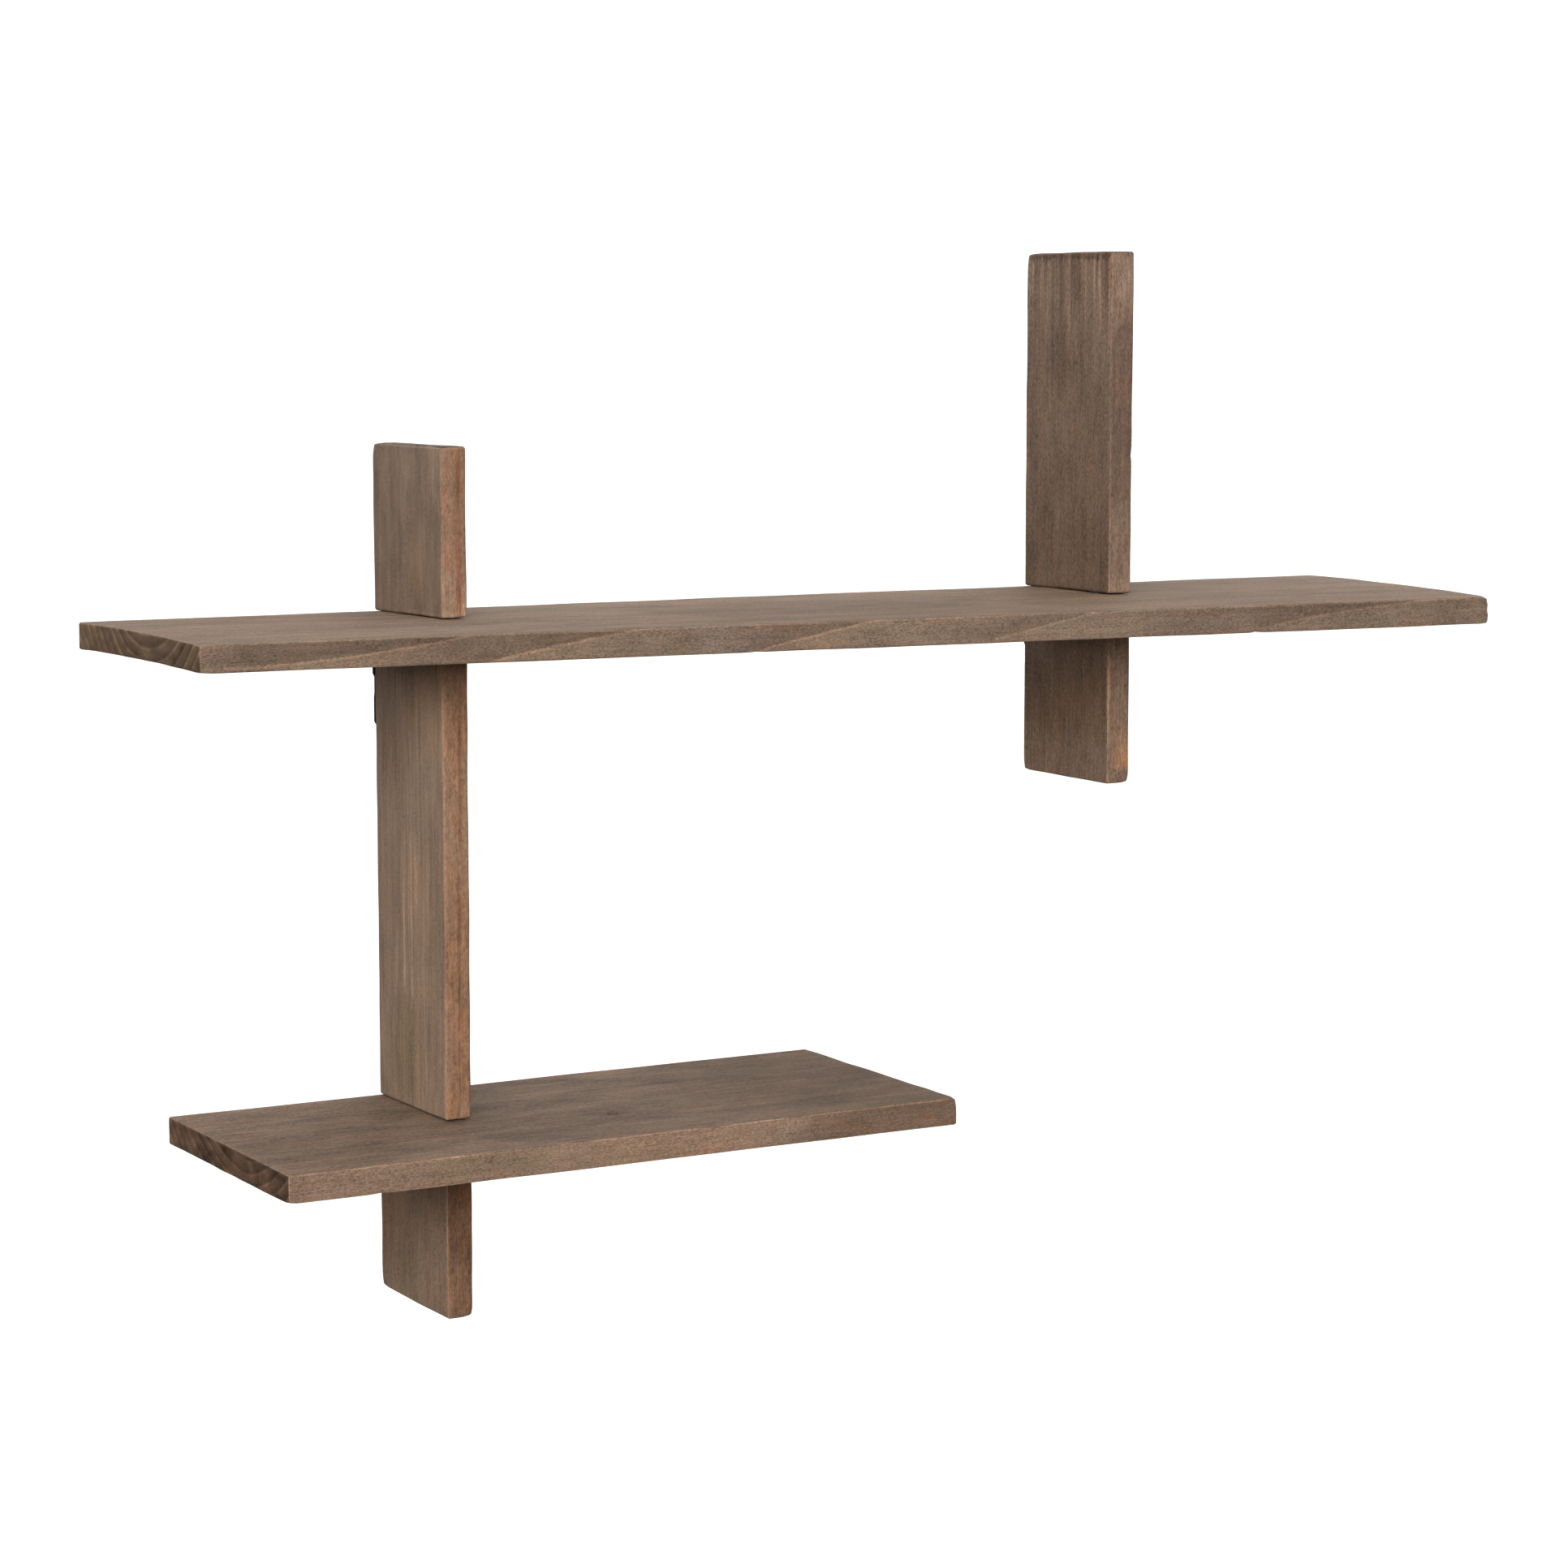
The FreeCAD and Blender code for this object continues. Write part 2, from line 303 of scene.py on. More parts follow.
class Graph:
    """A material's node tree, with short calls that add a node and return its output."""

    def __init__(self, name):
        self.material = bpy.data.materials.new(name)
        self.material.use_nodes = True
        self.tree = self.material.node_tree
        self.tree.nodes.clear()

    def add(self, kind, inputs, output=0, **settings):
        node = self.tree.nodes.new("ShaderNode" + kind)
        for name, value in settings.items():
            setattr(node, name, value)
        for name, value in inputs.items():
            socket = node.inputs[name]
            if isinstance(value, bpy.types.NodeSocket):
                self.tree.links.new(value, socket)
            else:
                socket.default_value = value
        return node.outputs[output] if len(node.outputs) else None

    def math(self, operation, a, b=0.0, c=0.0):
        return self.add("Math", {0: a, 1: b, 2: c}, operation=operation)

    def total(self, *values):
        result = values[0]
        for value in values[1:]:
            result = self.math("ADD", result, value)
        return result

    def product(self, *values):
        result = values[0]
        for value in values[1:]:
            result = self.math("MULTIPLY", result, value)
        return result

    def vector(self, x, y, z):
        return self.add("CombineXYZ", {0: x, 1: y, 2: z})

    def split(self, vector):
        node = self.tree.nodes.new("ShaderNodeSeparateXYZ")
        self.tree.links.new(vector, node.inputs[0])
        return tuple(node.outputs)

    def noise(self, vector, detail=2.0, roughness=0.5):
        """Noise from -1 to 1 or so, about zero."""
        inputs = {"Vector": vector, "Scale": 1.0, "Detail": detail, "Roughness": roughness}
        return self.math("MULTIPLY_ADD", self.add("TexNoise", inputs), 4.0, -2.0)

    def ramp(self, value, low, high, start=0.0, end=1.0):
        """Smooth step from start to end while value goes from low to high."""
        inputs = {0: value, 1: low, 2: high, 3: start, 4: end}
        return self.add("MapRange", inputs, interpolation_type="SMOOTHSTEP")

    def ramp_linear(self, value, low, high):
        """0 to 1 in proportion while value goes from low to high."""
        return self.add("MapRange", {0: value, 1: low, 2: high}, interpolation_type="LINEAR")

    def mix(self, share, a, b):
        inputs = {0: share, 6: a, 7: b}
        return self.add("Mix", inputs, output=2, data_type="RGBA")

    def scaled(self, colour, factor):
        if not isinstance(colour, bpy.types.NodeSocket):
            colour = tuple(colour)[:3]
        return self.add("VectorMath", {0: colour, 3: factor}, operation="SCALE")

    def surface(self, colour, roughness, height, depth, **fixed):
        """Finish the material: a principled surface with its bump."""
        normal = self.add("Bump", {"Height": height, "Strength": 1.0, "Distance": depth})
        inputs = {"Base Color": colour, "Roughness": roughness, "Normal": normal, **fixed}
        shader = self.add("BsdfPrincipled", inputs)
        self.add("OutputMaterial", {"Surface": shader})
        return self.material


def rgb(red, green, blue):
    return (red, green, blue, 1.0)


# Tints that multiply a wood's own colour.
PLAIN = (1.0, 1.0, 1.0)
PALE = (1.60, 1.62, 1.64)
TAN = (1.55, 1.38, 1.20)
RUSTY = (1.60, 1.14, 0.82)
RED = (0.95, 0.74, 0.62)
OLIVE = (0.92, 0.99, 0.86)
GREY = (1.12, 1.20, 1.30)
DEEP = (0.66, 0.61, 0.56)
DARK = (0.36, 0.31, 0.27)
# Painted shade for the rear arrises.
REAR_ARRIS_SHADE = (0.20, 0.17, 0.15)
EARLY_WOOD = (1.22, 1.21, 1.17)
LATE_WOOD = (0.70, 0.67, 0.64)
RING_LINE = (1.62, 1.46, 1.32)
KNOT_HALO = (0.90, 0.80, 0.72)
WARM_DRIFT = (1.08, 0.98, 0.92)
COOL_DRIFT = (0.94, 1.00, 0.95)
WARM_CLOUD = (1.12, 0.98, 0.86)
COOL_CLOUD = (0.92, 1.00, 1.03)
WORN_ARRIS = (2.0, 1.87, 1.76)
RUBBED_ARRIS = (1.35, 1.30, 1.25)
# A darker tint for part of a board's broad faces.
DIMMER_TOP = (0.90, 0.86, 0.80)
DARK_TOP = (0.71, 0.66, 0.58)
PALE_FLAME = (1.42, 1.22, 1.02)
DULL_FLAME = (1.30, 1.13, 0.98)
# A darker tint for a band across a block's broad faces.
DIMMER_BAND = (0.78, 0.72, 0.64)
LESS_ORANGE = (1.00, 1.09, 1.20)

# How far apart in noise space two planks lie, so that no two share a grain.
PLANK_SHIFT = 37.0

# Depth of each bump, in millimetres.
WOOD_BUMP = 0.06
BEECH_BUMP = 0.04
LACQUER_BUMP = 0.02
ZINC_BUMP = 0.01


class Wood:
    """Grain coordinates and face masks of one plank, in millimetres from its lowest corner.

    along follows the grain, across starts at the front edge, through is the plank's thickness.
    colour starts as the bare stain, and each mark tints it further."""

    def __init__(self, node, seed):
        self.g = g = Graph(node + "_wood")
        low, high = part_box(node)
        size = (high - low) / MM
        place = g.add("TexCoord", {}, output="Object")
        local = g.add("VectorMath", {0: place, 1: low}, operation="SUBTRACT")
        x, y, z = g.split(g.scaled(local, 1 / MM))
        nx, ny, nz = g.split(g.add("NewGeometry", {}, output="Normal"))
        is_board = "shelf" in node
        self.along, self.through = (x, z) if is_board else (z, x)
        self.thickness = size.z if is_board else size.x
        self.across, self.width = y, size.y
        self.end = g.ramp(g.math("ABSOLUTE", nx if is_board else nz), 0.6, 0.85)
        self.narrow = g.ramp(g.math("ABSOLUTE", ny), 0.6, 0.85)
        self.broad = g.ramp(g.math("ABSOLUTE", nz if is_board else nx), 0.6, 0.85)
        self.arris = g.add("Attribute", {}, output="Fac", attribute_name="arris")
        self.seed = seed * PLANK_SHIFT
        self.colour = None
        self.fibre = g.noise(self.stretched(30, 0.9, 0.9), 3.0, 0.65)
        self.hair = g.noise(self.stretched(9, 0.34, 0.34, 5.0), 2.0, 0.6)
        self.streak = g.noise(self.stretched(42, 2.1, 2.1, 7.0), 2.5, 0.6)
        self.band = g.noise(self.stretched(170, 7.5, 7.5, 9.0), 2.0, 0.55)
        self.blotch = g.noise(self.stretched(30, 14, 14, 13.0), 3.0, 0.6)
        self.mottle = g.noise(self.stretched(4.5, 2.2, 2.2, 17.0), 3.0, 0.7)
        self.speck = g.noise(self.stretched(1.3, 0.50, 0.50, 21.0), 2.0, 0.6)
        self.sanding = g.noise(self.stretched(0.8, 3.0, 3.0, 25.0), 2.0, 0.6)
        contour = g.noise(self.stretched(230, 46, 46, 27.0), 1.5, 0.45)
        self.figure = g.math("SINE", g.math("MULTIPLY_ADD", contour, 11.0, g.product(self.across, 0.16)))

    def stretched(self, along_mm, across_mm, through_mm, shift=0.0):
        """A vector for noise whose features are about this long and wide, in millimetres."""
        g = self.g
        return g.vector(
            g.math("MULTIPLY_ADD", self.along, 1 / along_mm, self.seed + shift),
            g.math("MULTIPLY_ADD", self.across, 1 / across_mm, shift),
            g.math("MULTIPLY_ADD", self.through, 1 / through_mm, -shift),
        )

    def tint(self, tint, share):
        """Multiply the wood's colour by a tint, as far as share says."""
        factor = self.g.mix(share, rgb(*PLAIN), rgb(*tint))
        self.colour = self.g.add("VectorMath", {0: self.colour, 1: factor}, operation="MULTIPLY")

    def window(self, value, low, high, soft):
        """1 between low and high and 0 outside, with soft edges."""
        rise = self.g.ramp(value, low - soft, low + soft)
        fall = self.g.ramp(value, high - soft, high + soft, 1.0, 0.0)
        return self.g.product(rise, fall)

    def on_face(self, face):
        """A face's mask, and the coordinate that runs sideways on it."""
        return (self.broad, self.across) if face == "broad" else (self.narrow, self.through)

    def patch(self, face, along, side, tint, amount, soft=(5.0, 1.2), ragged=0.5, tear=None):
        """A stained or worn patch on the broad or narrow faces, broken up along the grain.

        side is its range across a broad face, or through a narrow one. soft is the width of its
        edges, ragged how broken it is, and tear how far its ends are torn, in mm."""
        g = self.g
        mask, sideways = self.on_face(face)
        torn = g.noise(self.stretched(16, 1.6, 1.6, 31.0 + along[0]), 3.0, 0.65)
        reach = soft[0] * ragged if tear is None else tear
        moved = g.math("MULTIPLY_ADD", torn, reach, self.along)
        shape = g.product(
            self.window(moved, along[0], along[1], soft[0]),
            self.window(sideways, side[0], side[1], soft[1]),
        )
        broken = g.ramp(torn, -0.9, 0.5, 1.0 - ragged, 1.0)
        self.tint(tint, g.product(shape, broken, mask, amount))

    def streaks(self, face, along, width_mm, light, dark, amount, soft=12.0):
        """Light and dark lengthwise streaks between two places along a face."""
        g = self.g
        wave = g.noise(self.stretched(110, width_mm, width_mm, 41.0 + along[0]), 2.0, 0.6)
        mask, _ = self.on_face(face)
        share = g.product(self.window(self.along, along[0], along[1], soft), mask, amount)
        self.tint(light, g.product(g.ramp(wave, 0.05, 0.9), share))
        self.tint(dark, g.product(g.ramp(wave, -0.05, -0.9), share))

    def growth_line(self, start, end, foot, power, strength):
        """A growth ring's pale line that climbs a narrow face, lighter below it than above."""
        g = self.g
        wobble = g.noise(self.stretched(9, 4, 4, start), 1.0)
        place = g.math("MULTIPLY_ADD", wobble, 1.1, self.along)
        travelled = g.ramp_linear(place, start, end)
        share = g.math("MULTIPLY_ADD", g.math("POWER", travelled, power), 1.0 - foot, foot)
        below = g.math("MULTIPLY_ADD", self.through, -1.0, g.product(share, self.thickness))
        near = self.window(place, start, end, 6.0)
        line = g.product(self.window(below, -0.45, 0.45, 0.5), near, self.narrow, strength)
        lighter = g.product(
            g.ramp(below, 0.0, 1.0),
            g.ramp(place, start - 4.0, start + 22.0),
            g.ramp(place, end + 55.0, end - 10.0),
            self.narrow, 0.55 * strength,
        )
        darker = g.product(
            g.ramp(below, 0.0, -0.8),
            self.window(place, start - 20.0, end - 6.0, 22.0),
            self.narrow, 0.70 * strength,
        )
        self.tint(EARLY_WOOD, lighter)
        self.tint(LATE_WOOD, darker)
        self.tint(RING_LINE, line)

    def knot(self, face, along, side, radius, halo):
        """A small dark knot on a broad or narrow face, with a warm halo round it."""
        g = self.g
        mask, sideways = self.on_face(face)
        centre = g.vector(g.math("SUBTRACT", self.along, along), g.math("SUBTRACT", sideways, side), 0.0)
        distance = g.add("VectorMath", {0: centre}, output=1, operation="LENGTH")
        ragged = g.math("MULTIPLY_ADD", self.mottle, 0.25 * radius, distance)
        warm = g.product(g.ramp(ragged, halo, radius), mask, 0.7)
        ring = g.product(self.window(ragged, 0.55 * radius, radius, 0.3 * radius), mask)
        self.tint(KNOT_HALO, warm)
        self.tint(DARK, ring)

    def end_rings(self, across, through, spacing, cloud):
        """Tone of the end grain: fine pale rings about a pith line, over soft dark bands."""
        g = self.g
        drift = g.noise(self.stretched(160, 45, 45, 51.0), 1.0)
        dx = g.math("SUBTRACT", self.across, across)
        dy = g.math("SUBTRACT", self.through, through)
        distance = g.math("SQRT", g.total(g.product(dx, dx), g.product(dy, dy)))
        turns = g.math("MULTIPLY_ADD", distance, 1 / spacing, g.product(drift, 0.30))
        phase = g.math("FRACT", turns)
        pale = g.product(g.ramp(phase, 0.0, 0.10), g.ramp(phase, 0.34, 0.20))
        late = g.ramp(phase, 0.45, 0.98)
        pores = g.noise(self.stretched(4, 0.5, 0.5, 55.0), 3.0, 0.7)
        patchy = g.noise(self.stretched(60, 13, 7, 57.0), 2.0)
        return g.total(
            0.98,
            g.product(pale, 0.65, g.ramp(patchy, -0.5, 0.6, 0.15, 1.0)),
            g.product(late, -0.31),
            g.product(pores, 0.33),
            g.product(patchy, cloud),
            g.product(self.window(self.across, 38.0, 58.0, 10.0), 0.22),
            g.product(g.ramp(self.across, 85.0, 115.0), 0.36),
        )


# ------------------------------------------------------------------------------ marks by plank
#
# A patch is given as its face, where it lies along the grain, where it lies across it, its tint
# and its strength, then its softness, raggedness and tear. Places are in mm from the plank's lowest
# corner: boards start at the left end, blocks at the foot, and both at the front edge.

def long_shelf_marks(wood):
    """Five growth lines climb the front edge; a scuffed grey patch and a chip lie between them."""
    wood.growth_line(12, 112, 0.22, 1.8, 0.9)
    wood.growth_line(115, 188, 0.0, 0.80, 1.0)
    wood.growth_line(233, 295, 0.0, 0.85, 1.0)
    wood.growth_line(340, 402, 0.0, 1.0, 0.6)
    wood.growth_line(482, 610, 0.0, 0.65, 0.65)
    wood.patch("narrow", (205, 236), (-2, 14), GREY, 0.95, (7, 3), 0.6)
    wood.patch("narrow", (455, 473), (0, 7), PALE, 0.35, (7, 3))
    wood.patch("narrow", (0, 12), (0, 12), PALE, 0.25, (8, 3))
    wood.patch("narrow", (20, 112), (3, 14), DEEP, 0.35, (16, 3), 0.3)
    wood.patch("narrow", (80, 205), (-2, 14), DEEP, 0.18, (16, 3), 0.3)
    wood.patch("narrow", (300, 405), (-2, 14), PALE, 0.18, (16, 3), 0.3)
    wood.patch("narrow", (484, 600), (6, 14), DEEP, 0.30, (16, 3), 0.3)
    wood.patch("broad", (-5, 90), (0, 70), PALE, 0.20, (40, 30), 0.2)
    wood.patch("broad", (40, 150), (80, 128), DEEP, 0.25, (40, 25), 0.2)
    wood.patch("broad", (370, 590), (-10, 138), DIMMER_TOP, 0.9, (30, 30), 0.2)
    wood.patch("broad", (215, 365), (-8, 95), DEEP, 0.55, (24, 20), 0.2)


def short_shelf_marks(wood):
    """A knot on the top, a dark speck near the front's left, a pale scuff and a darker right end."""
    wood.patch("narrow", (-4, 6), (0, 12), DEEP, 0.5, (6, 3))
    wood.patch("narrow", (6, 52), (0, 12), TAN, 0.25, (14, 3))
    wood.patch("narrow", (62, 78), (0, 12), OLIVE, 0.9, (9, 3))
    wood.patch("narrow", (86, 108), (2, 12), OLIVE, 0.8, (9, 3))
    wood.patch("narrow", (118, 205), (0, 12), TAN, 0.35, (20, 3))
    wood.patch("narrow", (211, 222), (3, 12), PALE, 0.5, (5, 3), 0.8)
    wood.patch("narrow", (228, 300), (-2, 14), DEEP, 0.75, (12, 3), 0.4)
    wood.patch("narrow", (279, 284), (3, 7), RUSTY, 0.45, (3, 1.5), 0.8)
    wood.patch("broad", (-10, 70), (60, 134), PALE, 0.20, (40, 20), 0.2)
    wood.patch("broad", (110, 310), (-10, 60), DEEP, 0.30, (50, 30), 0.2)
    wood.patch("broad", (215, 310), (-10, 134), DARK_TOP, 0.9, (30, 30), 0.2)
    wood.knot("broad", 157, 41, 2.6, 7.0)
    wood.patch("broad", (149, 165), (40.3, 41.7), DEEP, 0.7, (4, 0.6), 0.3, 0)
    wood.patch("narrow", (78.6, 80.8), (6.2, 7.8), TAN, 0.40, (0.8, 0.6), 0.3, 0)
    wood.patch("narrow", (83.2, 85.5), (6.2, 7.6), RED, 0.60, (0.8, 0.6), 0.3, 0)
    wood.patch("narrow", (82.3, 83.9), (7.9, 8.6), DARK, 0.85, (0.4, 0.3), 0.2, 0)


def left_upright_top_marks(wood):
    """A dark thread runs up the front between tan bands; the rims are rubbed pale; painted shade darkens
    the foot.
    """
    wood.patch("broad", (-2, 32), (16, 31), RUSTY, 0.16, (10, 4), 0.9, 9)
    # Painted shade: the broad faces darken towards the foot, next to the long shelf.
    wood.patch("broad", (-8, 20), (-8, 74), DEEP, 0.22, (14, 8), 0.3)
    wood.patch("broad", (20, 60), (31, 38), PALE, 0.14, (14, 2), 0.6)
    wood.patch("broad", (8, 60), (43, 48), DEEP, 0.25, (14, 2), 0.4)
    wood.patch("broad", (-2, 70), (62, 67), DEEP, 0.5, (10, 2.5), 0.5)
    wood.patch("broad", (-2, 30), (28, 32), PALE, 0.22, (10, 1), 0.9, 9)
    wood.patch("broad", (44, 60), (17.3, 18.1), PALE, 0.6, (6, 0.4), 0.7)
    wood.patch("broad", (46, 67), (0, 8), PALE, 0.40, (6, 3), 0.95, 9)
    wood.patch("broad", (44, 70), (-6, 36), PALE, 0.20, (8, 8), 0.2)
    wood.patch("broad", (56, 67), (20, 60), PALE, 0.22, (4, 5), 0.95, 9)
    wood.patch("broad", (0.2, 2.4), (1, 33), PALE, 0.75, (0.8, 4), 0.8, 2)
    wood.patch("narrow", (-2, 70), (6.8, 8.8), RED, 1.0, (6, 0.9), 0.4)
    wood.patch("narrow", (2, 20), (7.0, 8.6), DEEP, 0.7, (6, 0.8), 0.6)
    wood.patch("narrow", (46, 64), (6.7, 8.8), DEEP, 0.9, (6, 0.8), 0.6)
    wood.patch("narrow", (8, 56), (7.3, 7.7), TAN, 0.5, (8, 0.25), 0.8)
    wood.patch("narrow", (-4, 18), (-1, 12), GREY, 0.85, (5, 2), 0.3)
    wood.patch("narrow", (-2, 9), (9.3, 12), PALE, 0.75, (2, 0.9), 0.9, 4)
    wood.patch("narrow", (-2, 3.5), (-1, 12), PALE, 0.5, (1.5, 3), 0.9, 3)
    wood.patch("narrow", (-2, 70), (-1, 0.7), DEEP, 0.6, (6, 0.5), 0.5)
    wood.patch("narrow", (8, 60), (1.6, 5.6), TAN, 0.16, (12, 1.5))


def left_upright_middle_marks(wood):
    """Pale planer streaks end abruptly on the broad face; dark threads run down the front."""
    wood.patch("broad", (47, 112), (30.6, 32.6), PALE, 0.75, (4, 0.7), 0.8, 6)
    wood.patch("broad", (56, 98), (33.6, 34.6), PALE, 0.55, (5, 0.5), 0.8, 6)
    wood.patch("broad", (50, 94), (37.8, 40.0), PALE, 0.75, (4, 0.7), 0.8, 6)
    wood.patch("broad", (52, 78), (45.0, 47.2), PALE, 0.60, (4, 0.8), 0.8, 6)
    wood.patch("broad", (82, 112), (25.6, 28.4), PALE, 0.60, (6, 0.9), 0.8, 6)
    wood.patch("broad", (70, 108), (12, 34), TAN, 0.15, (16, 6), 0.5)
    wood.patch("broad", (-8, 175), (-6, 28), PALE, 0.15, (10, 12), 0.3)
    wood.patch("broad", (150, 200), (-6, 32), TAN, 0.45, (10, 8), 0.3)
    wood.patch("broad", (140, 182), (-6, 36), PALE, 0.16, (8, 8), 0.2)
    wood.patch("broad", (-8, 150), (34, 74), DEEP, 0.17, (10, 10), 0.3)
    wood.patch("broad", (10, 42), (26, 46), OLIVE, 0.8, (8, 6), 0.5)
    wood.patch("broad", (8, 44), (26.5, 28.5), RUSTY, 0.25, (8, 0.8), 0.9)
    wood.patch("broad", (0, 1.6), (0, 34), PALE, 0.6, (0.8, 4), 0.9, 1)
    wood.patch("narrow", (110, 172), (6.7, 8.0), DEEP, 1.0, (10, 0.6), 0.5)
    wood.patch("narrow", (150, 176), (8.6, 10.4), RUSTY, 0.35, (8, 0.8), 0.8)
    wood.patch("narrow", (38, 100), (5.7, 6.9), DEEP, 1.0, (10, 0.5), 0.6)
    wood.patch("narrow", (7, 32), (5.9, 6.5), DARK, 0.85, (3, 0.3), 0.5)
    wood.patch("narrow", (40, 78), (2.3, 4.4), RUSTY, 0.22, (12, 0.9), 0.6)
    wood.patch("narrow", (-4, 60), (-1, 12), DEEP, 0.22, (18, 2), 0.4)
    wood.patch("narrow", (108, 142), (-1, 13), LESS_ORANGE, 0.9, (12, 2), 0.2)
    wood.patch("narrow", (130, 166), (1, 10), TAN, 0.22, (12, 2), 0.5)


def left_upright_bottom_marks(wood):
    """Greenish and tan clouds on the broad face; painted shade darkens the front towards the shelf
    above.
    """
    wood.patch("broad", (2, 22), (28, 46), OLIVE, 0.9, (8, 6))
    wood.patch("broad", (0, 46), (0, 26), TAN, 0.27, (12, 6), 0.7)
    wood.patch("broad", (22, 46), (34, 62), RUSTY, 0.20, (6, 6), 0.5)
    # Painted shade: the front darkens under the short shelf.
    wood.patch("narrow", (20, 70), (-1, 13), DEEP, 0.80, (14, 2), 0.3)
    wood.patch("narrow", (4, 17), (1.2, 2.4), RUSTY, 0.8, (2, 0.4), 0.9, 5)
    wood.patch("narrow", (15, 21), (2.8, 4.6), TAN, 0.5, (1, 0.4), 0.9, 4)
    wood.patch("broad", (10, 34), (34, 74), DEEP, 0.25, (8, 6), 0.3)
    wood.patch("narrow", (0, 22), (-1, 13), GREY, 0.50, (7, 2), 0.3)


def right_upright_top_marks(wood):
    """Bold light and dark streaks under the top; rusty patches lower down the broad face; painted shade
    darkens the foot.
    """
    wood.streaks("broad", (118, 165), 2.2, PALE, DEEP, 1.0, 20)
    wood.patch("broad", (112, 144), (7.0, 10.2), PALE, 0.75, (9, 0.9), 0.7, 9)
    wood.patch("broad", (114, 144), (15.4, 18.0), PALE, 0.50, (9, 0.9), 0.7, 9)
    wood.patch("broad", (112, 144), (30.5, 33.4), PALE, 0.55, (12, 0.8), 0.7, 9)
    wood.patch("broad", (110, 144), (46, 50), PALE, 0.30, (12, 1.2), 0.7, 9)
    wood.patch("broad", (118, 146), (35.6, 38.4), DEEP, 0.60, (9, 0.8), 0.5)
    wood.patch("broad", (118, 146), (25.4, 28.0), DEEP, 0.55, (9, 0.8), 0.5)
    wood.patch("broad", (144.2, 149), (-4, 70), DARK, 0.8, (0.8, 4), 0.7, 2)
    wood.patch("broad", (76, 96), (36, 50), RUSTY, 0.16, (8, 5), 0.8, 9)
    wood.patch("broad", (8, 66), (10, 30), RUSTY, 0.12, (14, 6), 0.8)
    # Painted shade: the broad faces darken towards the foot, next to the long shelf.
    wood.patch("broad", (-20, 40), (-8, 74), DEEP, 0.62, (34, 8), 0.3)
    wood.patch("broad", (90, 150), (-6, 30), PALE, 0.24, (12, 8), 0.3)
    wood.patch("broad", (118, 150), (-6, 74), PALE, 0.14, (8, 8), 0.2)
    wood.patch("narrow", (118, 150), (-2, 14), PALE, 1.0, (6, 3), 0.30, 7)
    wood.patch("narrow", (128, 143), (1, 10), PALE, 0.50, (4, 2), 0.95, 7)
    wood.patch("narrow", (146, 149), (-1, 13), DARK, 0.8, (0.7, 2), 0.8, 2)
    wood.patch("narrow", (-9, 39), (-2, 14), PALE, 0.60, (9, 3), 0.4)
    wood.patch("narrow", (-4, 8), (-2, 14), PALE, 0.60, (3, 3), 0.9, 4)
    wood.patch("narrow", (60, 62), (11.0, 12.4), PALE, 0.9, (0.8, 0.4), 0.2)
    wood.patch("narrow", (105.5, 106.5), (8.2, 9.4), PALE, 0.7, (0.4, 0.4), 0.2, 0)
    wood.patch("narrow", (100.3, 101.3), (4.3, 5.2), RUSTY, 1.0, (0.4, 0.3), 0.0, 0)
    wood.patch("narrow", (114.6, 115.5), (1.0, 1.8), RUSTY, 1.0, (0.4, 0.3), 0.0, 0)


def right_upright_bottom_marks(wood):
    """A ragged rusty flame crosses the lower front."""
    wood.patch("narrow", (22, 52), (0.2, 1.0), TAN, 0.7, (8, 0.5), 0.7)
    wood.patch("narrow", (22, 55), (1.2, 4.0), RED, 0.6, (8, 1.0), 0.6)
    wood.patch("narrow", (9, 19), (4.0, 13), PALE_FLAME, 1.0, (0.7, 0.8), 0.25, 8)
    wood.patch("narrow", (6.5, 13), (1.4, 13), DULL_FLAME, 1.0, (0.8, 1.0), 0.4, 6)
    wood.patch("narrow", (-1, 5.5), (5, 13), DEEP, 0.6, (1.5, 1.5), 0.8)
    wood.patch("narrow", (-1, 3), (-0.5, 1.0), RUSTY, 0.9, (1.0, 0.5), 0.5)
    wood.patch("broad", (20, 50), (-6, 74), DIMMER_BAND, 1.0, (9, 8), 0.3)
    wood.patch("broad", (54, 80), (-6, 74), PALE, 0.32, (6, 8), 0.3)
    wood.patch("broad", (0, 40), (0, 66), RUSTY, 0.08, (10, 8), 0.9)


